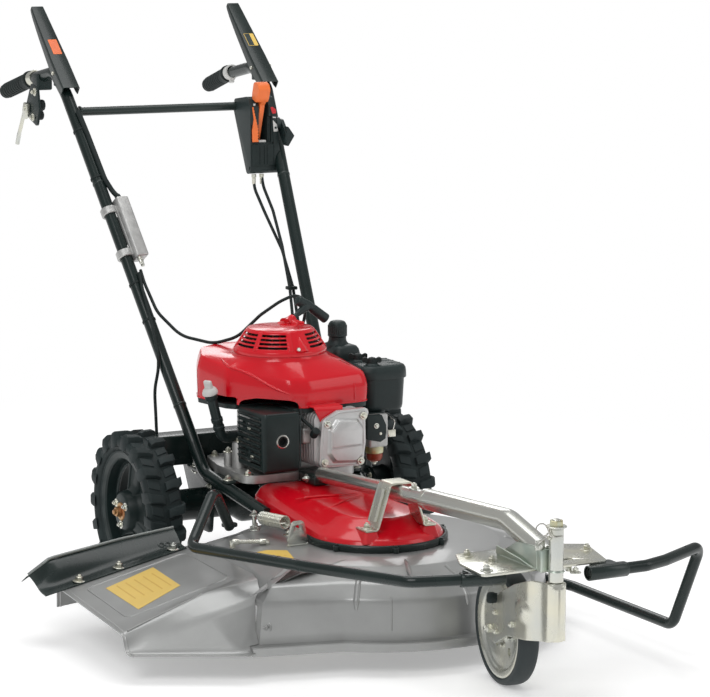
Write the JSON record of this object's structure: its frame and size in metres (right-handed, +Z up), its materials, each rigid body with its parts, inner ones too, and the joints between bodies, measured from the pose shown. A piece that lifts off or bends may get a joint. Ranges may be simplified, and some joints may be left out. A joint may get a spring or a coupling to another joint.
{
  "type": "walk-behind brush cutter",
  "caption": "Three-wheel walk-behind rough-cut mower with a side-chute deck, rear engine, lugged drive wheels, front caster, bumpers and long handles.",
  "frame": {"origin": "bottom centre of the machine's box, on the ground", "axes": "+Z up, the caster at the front toward -Y, the grips toward +Y, the driver's left toward +X"},
  "size_m": [0.9596, 1.9252, 1.111],
  "materials": {
    "tyre_right": "matte",
    "rim_right": "semi-gloss",
    "tyre_left": "matte",
    "rim_left": "semi-gloss",
    "lever_saddle_right": "semi-gloss",
    "lever_saddle_left": "semi-gloss",
    "axle_housing": "semi-gloss",
    "rear_beam": "semi-gloss",
    "frame_tube_right": "semi-gloss",
    "frame_tube_left": "semi-gloss",
    "cross_bar": "semi-gloss",
    "grip_right": "matte",
    "grip_left": "matte",
    "drive_lever": "semi-gloss",
    "blade_lever": "semi-gloss",
    "lever_bracket": "semi-gloss",
    "hand_lever": "zinc plated",
    "console": "fine texture",
    "gear_lever": "satin",
    "throttle_lever": "fine texture",
    "cable_box": "cast",
    "cables_right": "matte",
    "cables_left": "matte",
    "deck": "satin metallic",
    "chute": "satin metallic",
    "deflector": "semi-gloss",
    "belt_housing": "semi-gloss",
    "belt_cover": "gloss",
    "spindle_housing": "cast",
    "blade_spindle": "machined",
    "blade": "machined",
    "engine_pulley": "machined",
    "drive_belt": "matte",
    "engine_plate": "semi-gloss",
    "engine_block": "cast",
    "valve_cover": "cast",
    "muffler": "semi-gloss",
    "muffler_guard": "semi-gloss",
    "shroud": "gloss",
    "starter_cover": "gloss",
    "starter_grip": "fine texture",
    "fuel_tank": "fine texture",
    "fuel_cap": "fine texture",
    "air_cleaner": "fine texture",
    "carburettor": "cast",
    "oil_filler": "fine texture",
    "dipstick": "cast",
    "spine_tube": "zinc plated",
    "nose_tube": "zinc plated",
    "nose_plate": "zinc plated",
    "pivot_sleeve": "zinc plated",
    "stay": "zinc plated",
    "bumper_right": "semi-gloss",
    "bumper_left": "semi-gloss",
    "caster_fork": "zinc plated",
    "spindle_nut": "zinc plated",
    "caster_rim": "zinc plated",
    "caster_tyre": "matte",
    "tensioner_tab": "zinc plated",
    "tension_spring": "zinc plated"
  },
  "bodies": {
    "machine": {"lever_saddle_right": "lever_saddle_right", "lever_saddle_left": "lever_saddle_left", "axle_housing": "axle_housing", "rear_beam": "rear_beam", "frame_tube_right": "frame_tube_right", "frame_tube_left": "frame_tube_left", "cross_bar": "cross_bar", "grip_right": "grip_right", "grip_left": "grip_left", "lever_bracket": "lever_bracket", "console": "console", "cable_box": "cable_box", "cables_right": "cables_right", "cables_left": "cables_left", "deck": "deck", "chute": "chute", "deflector": "deflector", "belt_housing": "belt_housing", "belt_cover": "belt_cover", "spindle_housing": "spindle_housing", "drive_belt": "drive_belt", "engine_plate": "engine_plate", "engine_block": "engine_block", "valve_cover": "valve_cover", "muffler": "muffler", "muffler_guard": "muffler_guard", "shroud": "shroud", "starter_cover": "starter_cover", "fuel_tank": "fuel_tank", "air_cleaner": "air_cleaner", "carburettor": "carburettor", "oil_filler": "oil_filler", "spine_tube": "spine_tube", "nose_tube": "nose_tube", "nose_plate": "nose_plate", "pivot_sleeve": "pivot_sleeve", "stay": "stay", "bumper_right": "bumper_right", "bumper_left": "bumper_left", "tensioner_tab": "tensioner_tab", "tension_spring": "tension_spring"},
    "blade_drive": {"blade": "blade", "blade_spindle": "blade_spindle"},
    "engine_shaft": {"engine_pulley": "engine_pulley"},
    "wheel_right": {"rim_right": "rim_right", "tyre_right": "tyre_right"},
    "wheel_left": {"rim_left": "rim_left", "tyre_left": "tyre_left"},
    "caster_swivel": {"caster_fork": "caster_fork", "spindle_nut": "spindle_nut"},
    "caster_wheel": {"caster_rim": "caster_rim", "caster_tyre": "caster_tyre"},
    "drive_lever": {"drive_lever": "drive_lever"},
    "blade_lever": {"blade_lever": "blade_lever"},
    "hand_lever": {"hand_lever": "hand_lever"},
    "gear_lever": {"gear_lever": "gear_lever"},
    "throttle_lever": {"throttle_lever": "throttle_lever"},
    "starter_grip": {"starter_grip": "starter_grip"},
    "fuel_cap": {"fuel_cap": "fuel_cap"},
    "dipstick": {"dipstick": "dipstick"}
  },
  "joints": [
    {"name": "blade_spin", "type": "hinge", "parent": "machine", "child": "blade_drive", "pos_m": [0.12283, -0.30907, 0.12], "axis": [0, 0, 1], "continuous": true},
    {"name": "engine_spin", "type": "hinge", "parent": "machine", "child": "engine_shaft", "pos_m": [0.12283, 0.09493, 0.21], "axis": [0, 0, 1], "continuous": true},
    {"name": "wheel_right_roll", "type": "hinge", "parent": "machine", "child": "wheel_right", "pos_m": [-0.14867, 0.17493, 0.156], "axis": [1, 0, 0], "continuous": true},
    {"name": "wheel_left_roll", "type": "hinge", "parent": "machine", "child": "wheel_left", "pos_m": [0.39433, 0.17493, 0.156], "axis": [1, 0, 0], "continuous": true},
    {"name": "caster_turn", "type": "hinge", "parent": "machine", "child": "caster_swivel", "pos_m": [0.12283, -0.94507, 0.27], "axis": [0, 0, 1], "continuous": true},
    {"name": "caster_roll", "type": "hinge", "parent": "caster_swivel", "child": "caster_wheel", "pos_m": [0.14686, -0.74652, 0.101], "axis": [0.9928, -0.1201, 0], "continuous": true},
    {"name": "drive_lever_press", "type": "hinge", "parent": "machine", "child": "drive_lever", "pos_m": [-0.10317, 0.66143, 0.9785], "axis": [-1, 0, 0], "range_deg": [0, 36], "stiffness_Nm_per_rad": 0.6, "springref_deg": -34.38},
    {"name": "blade_lever_press", "type": "hinge", "parent": "machine", "child": "blade_lever", "pos_m": [0.34883, 0.66143, 0.9785], "axis": [-1, 0, 0], "range_deg": [0, 36], "stiffness_Nm_per_rad": 0.6, "springref_deg": -34.38},
    {"name": "hand_lever_squeeze", "type": "hinge", "parent": "machine", "child": "hand_lever", "pos_m": [-0.12867, 0.80293, 0.898], "axis": [1, 0, 0], "range_deg": [0, 30], "stiffness_Nm_per_rad": 0.3, "springref_deg": -17.19},
    {"name": "gear_lever_shift", "type": "hinge", "parent": "machine", "child": "gear_lever", "pos_m": [0.28583, 0.56693, 0.805], "axis": [-1, 0, 0], "range_deg": [0, 20]},
    {"name": "throttle_lever_turn", "type": "hinge", "parent": "machine", "child": "throttle_lever", "pos_m": [0.33833, 0.53693, 0.868], "axis": [1, 0, 0], "range_deg": [-35, 10]},
    {"name": "starter_pull", "type": "slide", "parent": "machine", "child": "starter_grip", "axis": [0.8269, 0.3661, 0.4269], "range_m": [0, 0.45], "stiffness_N_per_m": 60, "springref_m": -0.05},
    {"name": "fuel_cap_turn", "type": "hinge", "parent": "machine", "child": "fuel_cap", "pos_m": [0.28283, 0.16293, 0.48], "axis": [0, 0, 1], "range_deg": [0, 90]},
    {"name": "dipstick_turn", "type": "hinge", "parent": "machine", "child": "dipstick", "pos_m": [-0.03867, 0.06793, 0.392], "axis": [-0.2902, -0.1161, 0.9499], "range_deg": [0, 180]}
  ],
  "couplings": [
    {"joint": "engine_spin", "follows": "blade_spin", "ratio": 1.5278}
  ]
}
